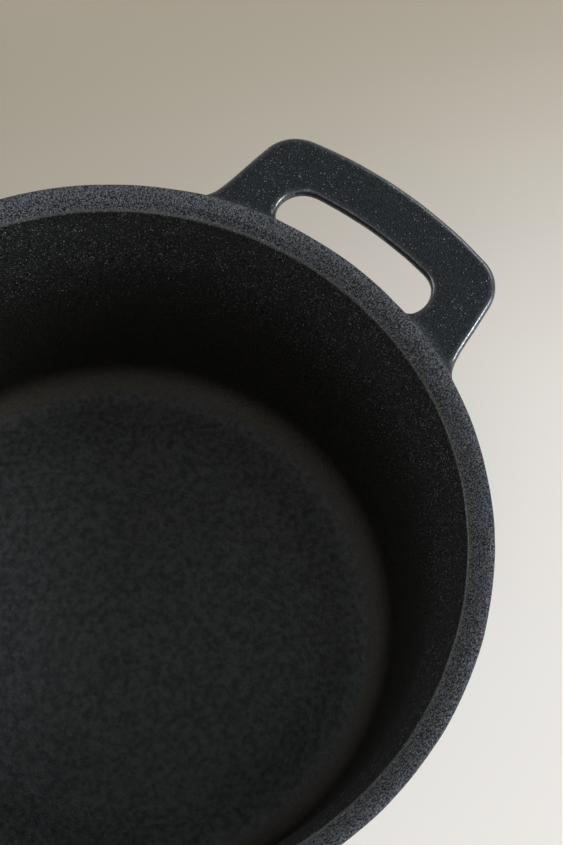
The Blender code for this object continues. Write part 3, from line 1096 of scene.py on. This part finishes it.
        def form(points: np.ndarray) -> np.ndarray:
            """Measures how far points lie from the handle.

            Args:
                points: The points, one in each row.

            Returns:
                The distances, negative inside the handle.
            """
            beside = outline_distance(points[:, :2], plan)
            side = (beside - widest + (top - points[:, 2]) * lean) * upright + self.handle_rounding
            slab = np.abs(points[:, 2] - middle) - self.handle_thickness / 2 + self.handle_rounding
            both = np.hypot(np.maximum(side, 0), np.maximum(slab, 0))
            plate = np.minimum(np.maximum(side, slab), 0) + both - self.handle_rounding
            radius = np.hypot(points[:, 0], points[:, 1])
            shell = outline_distance(np.stack([radius, points[:, 2]], 1), section) + self.seam_sink
            welded = np.maximum(blended(plate, shell, self.weld_reach), plate - self.weld_length)
            return np.maximum(welded, np.maximum(root - radius, points[:, 2] - self.height + self.seam_sink))

        return form

    def build(self) -> Piece:
        """Turns the body, joins both handles to it and roughens the skin.

        Returns:
            The finished casting.
        """
        pot = turned(self.name, self.crowned(spaced(self.section(), self.longest_side)), self.steps)
        margin = 2 * self.handle_cell
        broad = self.handle_half_width + self.handle_root_fillet + 2 * self.weld_length
        top = self.height - self.handle_drop
        inmost = math.sqrt((self.shoulder_radius - self.wall) ** 2 - broad**2)
        low = Vector((inmost, -broad, top - self.handle_thickness - self.weld_length - margin))
        high = Vector((self.reach + margin, broad, self.height + margin))
        handle = surface("handle_right", self.handle_form(), low, high, self.handle_cell)
        other = bpy.data.objects.new("handle_left", handle.data.copy())
        other.data.transform(Matrix.Rotation(math.pi, 4, "Z"))
        bpy.context.scene.collection.objects.link(other)
        for helper in (handle, other):
            combine(pot, helper, "UNION")
        CastSkin().apply(pot)
        self.mark_zones(pot)
        return pot

    def crowned(self, section: list[Point]) -> list[Point]:
        """Raises the cooking floor a little towards its middle.

        Args:
            section: The pot's section.

        Returns:
            The section with the raised floor.
        """
        radii, heights = np.array(section).T
        rise = self.crown * smooth_step(-radii, -self.crown_foot, -self.crown_top)
        raised = np.where(np.isclose(heights, self.floor, atol=self.flatness), heights + rise, heights)
        return [(float(radius), float(height)) for radius, height in zip(radii, raised)]

    def mark_zones(self, pot: Piece) -> None:
        """Marks the zones of the pot for the finish.

        Args:
            pot: The finished casting.
        """
        points, _ = vertices_of(pot.data)
        radius, height = np.hypot(points[:, 0], points[:, 1]), points[:, 2]
        edge_height = self.height - self.inner_drop
        drop = edge_height - self.flare_depth - height
        middle = self.step_radius + self.wall / 2 - drop * slope(self.wall_draft)
        flared = height > self.height - self.flare_depth
        middle = np.where(flared, self.mouth_radius + self.lip_margin, middle)
        cavity = (radius < middle) & (height > self.floor / 2) & (height < edge_height)
        mark(pot, Zone.INSIDE, cavity.astype(float))
        # The cooking floor: its pebbles' relief, and the painted light on its colour.
        lowest = smooth_step(-height, -self.floor - self.floor_fillet * self.floor_blend, -self.floor)
        mark(pot, Zone.FLOOR, cavity * np.maximum(lowest, radius < self.crown_foot))
        # The painted highlight fades out up the floor's fillet.
        heel_highlight_ends = (-self.floor - self.floor_fillet * share for share in (self.heel_highlight_to, self.heel_highlight_from))
        heel_highlight = smooth_step(-height, *heel_highlight_ends)
        mark(pot, Zone.HEEL_HIGHLIGHT, cavity * heel_highlight)
        # How deep inside: fades the painted glints and turns the mouth's colour into the cavity's.
        depth = smooth_step(self.height - height, self.glinting_depth, self.glintless_depth)
        mark(pot, Zone.DEPTH, cavity * depth)
        lip = smooth_step(height, edge_height - self.inner_drop, edge_height) * ~cavity
        lip *= smooth_step(-radius, -self.rim_radius - self.lip_spread, -self.rim_radius)
        bead = (height > edge_height - self.inner_edge) & (height < edge_height + self.groove_from) & ~cavity
        mark(pot, Zone.BEAD, (bead & (radius < self.mouth_radius + self.groove_from)).astype(float))
        mark(pot, Zone.LIP, lip)

    def dress(self, pot: Piece, grain: Tree) -> None:
        """Gives the pot its iron and sets it in the frame."""
        dress(pot, SeasonedIron("seasoned_pot_iron").material(grain), "pot", "pot")


def turned_over(node: str, axis: Vector | None = None) -> Matrix:
    """Works out how a piece, built foot down on its own axis, lies upside down.

    Args:
        node: The node whose place it takes.
        axis: A point on its axis there, or None for the middle of the node's box.

    Returns:
        The matrix that lays it down.
    """
    low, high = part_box(node)
    x, y = ((low.x + high.x) / 2, (low.y + high.y) / 2) if axis is None else axis.xy
    return Matrix.Translation((x, y, high.z)) @ Matrix.Rotation(math.pi, 4, "X")


@dataclass
class CastLid:
    """The domed lid, with the ring that centres it and the nubs that drip on the food."""

    name: str = "lid_casting"
    steps: int = 200
    longest_side: float = 0.0025
    edge_thickness: float = 0.0044
    edge_rounding: float = 0.0017
    shoulder_inset: float = 0.0075
    shoulder_fillet: float = 0.010
    brow_inset: float = 0.0233
    brow_drop: float = 0.0024
    brow_fillet: float = 0.060
    thickness: float = 0.0048
    pad_radius: float = 0.011
    pad_height: float = 0.0012
    pad_fillet: float = 0.0008
    ring_radius: float = 0.0952
    ring_width: float = 0.0044
    ring_depth: float = 0.0040
    ring_rounding: float = 0.0012
    seat_fillet: float = 0.0004
    ring_root_width: float = 0.0016
    ring_root_fillet: float = 0.006
    ring_draft: float = 8.3
    hole_radius: float = 0.0034
    nub_radius: float = 0.0024
    nub_height: float = 0.0024
    nub_tip_radius: float = 0.0012
    nub_tip_share: float = 0.8
    nub_root: float = 0.0010
    nub_steps: int = 28
    nub_rings: tuple[tuple[float, int], ...] = ((0.034, 7), (0.060, 13))

    def __post_init__(self) -> None:
        """Takes the overall sizes from the model's lid."""
        low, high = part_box("lid")
        self.radius = (high.x - low.x) / 2
        self.crown = high.z - low.z

    def section(self) -> list[Point]:
        """Draws the lid's section.

        Returns:
            The points: out over its top, round the edge and back under it.
        """
        seat = self.ring_depth
        dome = self.crown - self.pad_height
        edge_top = seat + self.edge_thickness
        shoulder = self.radius - self.shoulder_inset
        brow = shoulder - self.brow_inset
        brow_height = dome - self.brow_drop
        ring_foot = self.ring_radius - self.ring_depth * slope(self.ring_draft)
        ring_root = self.ring_radius - self.ring_width - self.ring_root_width
        under = self.thickness
        return rounded(
            [
                (self.hole_radius, self.crown, 0),
                (self.pad_radius, self.crown, self.pad_fillet),
                (self.pad_radius + self.pad_height, dome, self.pad_fillet),
                (brow, brow_height, self.brow_fillet),
                (shoulder, edge_top, self.shoulder_fillet),
                (self.radius, edge_top, self.edge_rounding),
                (self.radius, seat, self.edge_rounding / 2),
                (self.ring_radius, seat, self.seat_fillet),
                (ring_foot, 0.0, self.ring_rounding),
                (ring_foot - self.ring_width, 0.0, self.ring_rounding),
                (ring_root, edge_top - under, self.ring_root_fillet),
                (brow - under / 2, brow_height - under, self.brow_fillet - under),
                (self.pad_radius, dome - under, 0),
                (self.hole_radius, dome - under, 0),
            ]
        )

    def underside(self, radius: float) -> float:
        """Works out how high the lid's underside lies inside the ring.

        Args:
            radius: The distance from the lid's axis.

        Returns:
            The height.
        """
        inwards = list(reversed(self.section()))
        for (r0, z0), (r1, z1) in zip(inwards, inwards[1:]):
            if r0 <= radius < r1:
                return z0 + (z1 - z0) * (radius - r0) / (r1 - r0)
        return self.crown - self.pad_height - self.thickness

    def nub_section(self) -> list[Point]:
        """Draws a nub's section, its tip at zero and its root flared into the lid.

        Returns:
            The points, from the tip to the root.
        """
        waist = self.nub_height - self.nub_root
        root = self.nub_height + self.nub_root / 2
        return rounded(
            [
                (0.0, 0.0, 0),
                (self.nub_tip_radius, 0.0, self.nub_tip_radius * self.nub_tip_share),
                (self.nub_radius, waist, self.nub_radius),
                (self.nub_radius + self.nub_root, root, 0),
                (0.0, root, 0),
            ]
        )

    def build(self) -> Piece:
        """Turns the lid, adds its nubs, roughens the skin and turns it over.

        Returns:
            The finished casting.
        """
        lid = turned(self.name, spaced(self.section(), self.longest_side), self.steps, closed=True)
        for ring, count in self.nub_rings:
            tip = self.underside(ring) - self.nub_height
            for index in range(count):
                turn = math.tau * index / count
                nub = turned("nub", self.nub_section(), self.nub_steps)
                nub.data.transform(Matrix.Translation((ring * math.cos(turn), ring * math.sin(turn), tip)))
                combine(lid, nub, "UNION")
        CastSkin().apply(lid)
        lid.data.transform(turned_over("lid"))
        return lid

    def dress(self, lid: Piece, grain: Tree) -> None:
        """Gives the lid its iron and sets it in the frame."""
        iron = SeasonedIron("seasoned_lid_iron", edge_coat=0.45)
        dress(lid, iron.material(grain), "lid", "lid")


@dataclass
class LidKnob:
    """The flat-topped knob, with the blind hole for its screw."""

    name: str = "knob_casting"
    steps: int = 128
    longest_side: float = 0.0010
    head_thickness: float = 0.0075
    edge_rounding: float = 0.0030
    undercut: float = 0.0025
    head_fillet: float = 0.004
    neck_radius: float = 0.0070
    neck_fillet: float = 0.003
    foot_radius: float = 0.0096
    foot_height: float = 0.0022
    foot_flare: float = 0.0020
    foot_rounding: float = 0.0008
    hole_radius: float = 0.0031
    hole_depth: float = 0.0110

    def __post_init__(self) -> None:
        """Takes the overall sizes from the model's knob."""
        low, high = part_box("lid_knob")
        self.radius = (high.x - low.x) / 2
        self.height = high.z - low.z

    def section(self) -> list[Point]:
        """Draws the knob's section.

        Returns:
            The points: out over its top, down its side and up the blind hole.
        """
        head_foot = self.height - self.head_thickness
        return rounded(
            [
                (0.0, self.height, 0),
                (self.radius, self.height, self.edge_rounding),
                (self.radius, head_foot, self.edge_rounding),
                (self.neck_radius, head_foot - self.undercut, self.head_fillet),
                (self.neck_radius, self.foot_height + self.foot_flare, self.neck_fillet),
                (self.foot_radius, self.foot_height, self.foot_rounding),
                (self.foot_radius, 0.0, self.foot_rounding / 2),
                (self.hole_radius, 0.0, 0),
                (self.hole_radius, self.hole_depth, 0),
                (0.0, self.hole_depth, 0),
            ]
        )

    def build(self) -> Piece:
        """Turns the knob, lays it upside down and roughens the skin.

        Returns:
            The finished knob.
        """
        knob = turned(self.name, spaced(self.section(), self.longest_side), self.steps)
        knob.data.transform(turned_over("lid_knob"))
        CastSkin(wave_depth=0.00008, wave_size=0.012, dent_depth=0.00004, dent_size=0.004).apply(knob)
        return knob

    def dress(self, knob: Piece, grain: Tree) -> None:
        """Gives the knob its smoother iron and sets it in the frame."""
        iron = SeasonedIron("seasoned_knob_iron", roughness=0.40, grain_depth=0.00005, speck_share=0.06)
        dress(knob, iron.material(grain), "lid", "lid_knob")


@dataclass
class KnobFastening:
    """The screw under the lid that holds the knob, and its split lock washer."""

    steps: int = 96
    screw_radius: float = 0.0028
    tip_rounding: float = 0.00056
    head_height: float = 0.0026
    head_rounding: float = 0.0016
    recess_width: float = 0.0012
    recess_length: float = 0.0056
    recess_depth: float = 0.0014
    bore: float = 0.0031
    split: float = 0.0010
    washer_chamfer: float = 0.0002
    overshoot: float = 0.002

    def __post_init__(self) -> None:
        """Takes the overall sizes from the model's screw and washer."""
        screw_low, screw_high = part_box("knob_screw")
        self.head_radius = (screw_high.x - screw_low.x) / 2
        self.length = screw_high.z - screw_low.z
        washer_low, washer_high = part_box("lock_washer")
        self.washer_radius = (washer_high.y - washer_low.y) / 2
        self.washer_thickness = washer_high.z - washer_low.z
        self.axis = Vector(((screw_low.x + screw_high.x) / 2, (screw_low.y + screw_high.y) / 2, 0.0))

    def build_screw(self) -> Piece:
        """Turns the screw, cuts the cross recess in its head and lays it upside down.

        Returns:
            The finished screw.
        """
        outline = rounded(
            [
                (0.0, self.length, 0),
                (self.screw_radius, self.length, self.tip_rounding),
                (self.screw_radius, self.head_height, 0),
                (self.head_radius, self.head_height, 0),
                (self.head_radius, 0.0, self.head_rounding),
                (0.0, 0.0, 0),
            ]
        )
        screw = turned("screw_turned", outline, self.steps)
        long_half, short_half = self.recess_length / 2, self.recess_width / 2
        for x, y in ((long_half, short_half), (short_half, long_half)):
            square = [(-x, -y), (x, -y), (x, y), (-x, y)]
            combine(screw, prism("recess", square, -self.overshoot, self.recess_depth), "DIFFERENCE")
        screw.data.transform(turned_over("knob_screw"))
        return screw

    def build_washer(self) -> Piece:
        """Turns the lock washer, splits it and lays it upside down.

        Returns:
            The finished washer.
        """
        chamfer = self.washer_chamfer
        outer, thick = self.washer_radius, self.washer_thickness
        section = [
            (self.bore, thick),
            (outer - chamfer, thick),
            (outer, thick - chamfer),
            (outer, chamfer),
            (outer - chamfer, 0.0),
            (self.bore, 0.0),
        ]
        washer = turned("washer_ring", section, self.steps, closed=True)
        half, end = self.split / 2, outer + self.overshoot
        square = [(self.bore / 2, -half), (end, -half), (end, half), (self.bore / 2, half)]
        combine(washer, prism("split", square, -self.overshoot, thick + self.overshoot), "DIFFERENCE")
        washer.data.transform(turned_over("lock_washer", self.axis))
        return washer

    def dress(self, screw: Piece, washer: Piece, turning: Tree) -> None:
        """Gives both parts their steel and sets them in the frame.

        Args:
            screw: The finished screw.
            washer: The finished washer.
            turning: The turning rings group.
        """
        bright = TurnedSteel("turned_screw_steel").material(turning, self.axis)
        dull = TurnedSteel("washer_spring_steel", colour=(0.42, 0.42, 0.41), dull_colour=(0.30, 0.30, 0.29))
        dress(screw, bright, "lid", "knob_screw")
        dress(washer, dull.material(turning, self.axis), "lid", "lock_washer")


@dataclass(frozen=True)
class WindowLight:
    """Soft even light from one side, as from a large window far off."""

    name: str
    side: tuple[float, float, float]
    power: float
    spread: float
    colour: Colour = (1.0, 1.0, 1.0)

    def build(self) -> None:
        """Adds the window's light to the scene, shining from its side towards the middle."""
        data = bpy.data.lights.new(self.name, "SUN")
        data.energy = self.power
        data.angle = math.radians(self.spread)
        data.color = self.colour
        lamp = bpy.data.objects.new(self.name, data)
        lamp.location = self.side
        lamp.rotation_euler = Vector(self.side).to_track_quat("Z", "Y").to_euler()
        bpy.context.scene.collection.objects.link(lamp)


@dataclass
class Studio:
    """The pale floor with its painted shade, the soft light and the camera of the photograph."""

    floor_half_side: float = 12.0
    floor_thickness: float = 0.02
    paper_roughness: float = 0.9
    paper_sheen: float = 0.2
    # Painted shade on the floor near the pot: its colour and its ramp.
    shade_colour: Colour = (0.376, 0.329, 0.258)
    pale_colour: Colour = (0.930, 0.884, 0.850)
    plain_colour: Colour = (0.670, 0.637, 0.598)
    shade_from: float = -0.224
    shade_to: float = 0.060
    shade_direction: tuple[float, float, float] = (-0.556, -0.831, 0.0)
    shade_centre: tuple[float, float, float] = (0.15, 0.01, 0.0)
    plain_from: float = 0.205
    plain_to: float = 0.42
    dim_light: Colour = (0.47, 0.455, 0.43)
    bright_light: Colour = (1.16, 1.13, 1.08)
    bright_side: tuple[float, float, float] = (-0.87, -0.50, 0.0)
    zenith_light: Colour = (0.175, 0.178, 0.180)
    zenith_from: float = 0.35
    zenith_to: float = 0.95
    windows: tuple[WindowLight, ...] = (
        WindowLight("near_window", (0.80, -1.38, 0.85), power=2.75, spread=26.0, colour=(0.92, 0.97, 1.0)),
        WindowLight("right_window", (1.60, 0.05, 0.95), power=0.63, spread=27.0, colour=(0.94, 0.98, 1.0)),
        WindowLight("far_window", (-0.50, 1.60, 0.65), power=0.66, spread=37.0, colour=(0.98, 0.99, 1.0)),
        WindowLight("left_window", (-1.00, -0.45, 1.40), power=0.165, spread=16.0, colour=(1.0, 0.96, 0.90)),
    )
    camera_place: tuple[float, float, float] = (-0.11929, -0.13288, 0.58770)
    camera_aim: tuple[float, float, float] = (0.05350, -0.01804, 0.09400)
    camera_roll: float = 5.1666
    sensor_side: float = 36.0
    lens: float = 83.106

    def build_floor(self) -> None:
        """Builds the floor, which pales towards the viewer near the pot, is darker away from it with painted
        shade, and is plain further off.
        """
        side = self.floor_half_side
        corners = [(-side, -side), (side, -side), (side, side), (-side, side)]
        floor = prism("studio_floor", corners, -self.floor_thickness, 0.0)
        wires, shader, place = principled("pale_paper")
        # Painted shade: the floor darkens along this direction near the pot.
        along = wires.measure("DOT_PRODUCT", place, self.shade_direction)
        pale = wires.remap(along, self.shade_from, self.shade_to, curve="SMOOTHSTEP")
        distance = wires.measure("DISTANCE", place, self.shade_centre)
        far = wires.remap(distance, self.plain_from, self.plain_to, curve="SMOOTHSTEP")
        near = wires.mix(pale, self.shade_colour, self.pale_colour)
        wires.feed(
            shader,
            {
                "Base Color": wires.mix(far, near, self.plain_colour),
                "Roughness": self.paper_roughness,
                "Specular IOR Level": self.paper_sheen,
            },
        )
        floor.data.materials.append(bpy.data.materials["pale_paper"])

    def build_light(self) -> None:
        """Sets the sky and the lamps."""
        world = bpy.data.worlds.new("studio_sky")
        world.use_nodes = True
        wires = Wiring(world.node_tree)
        direction = wires.add("ShaderNodeTexCoord").outputs["Generated"]
        height = wires.add("ShaderNodeSeparateXYZ", {0: direction}).outputs[2]
        upwards = wires.remap(height, self.zenith_from, self.zenith_to)
        sideways = wires.remap(wires.measure("DOT_PRODUCT", direction, self.bright_side), -1.0, 1.0)
        light = wires.mix(upwards, wires.mix(sideways, self.dim_light, self.bright_light), self.zenith_light)
        wires.feed(world.node_tree.nodes["Background"], {"Color": light})
        bpy.context.scene.world = world
        for window in self.windows:
            window.build()

    def build_camera(self) -> None:
        """Sets the camera where the photograph was taken from."""
        data = bpy.data.cameras.new("photograph")
        data.lens = self.lens
        # The sensor's width lies along the picture's longer side, which is upright here.
        data.sensor_width = self.sensor_side
        camera = bpy.data.objects.new("photograph", data)
        place = Vector(self.camera_place)
        turn = (Vector(self.camera_aim) - place).to_track_quat("-Z", "Y").to_matrix()
        turn = turn @ Matrix.Rotation(math.radians(self.camera_roll), 3, "Z")
        camera.matrix_world = Matrix.Translation(place) @ turn.to_4x4()
        bpy.context.scene.collection.objects.link(camera)
        bpy.context.scene.camera = camera

    def build(self) -> None:
        """Builds the floor, the light and the camera."""
        self.build_floor()
        self.build_light()
        self.build_camera()
        bpy.context.scene.view_settings.view_transform = "Standard"


def main() -> None:
    """Builds the pot, the lid and its fastening, and then the studio."""
    grain = SandGrain().group()
    turning = TurningRings().group()
    pot = CastPot()
    pot.dress(pot.build(), grain)
    lid = CastLid()
    lid.dress(lid.build(), grain)
    knob = LidKnob()
    knob.dress(knob.build(), grain)
    fastening = KnobFastening()
    fastening.dress(fastening.build_screw(), fastening.build_washer(), turning)
    Studio().build()


if __name__ == "__main__":
    logging.basicConfig(level=logging.INFO, format="%(message)s")
    main()
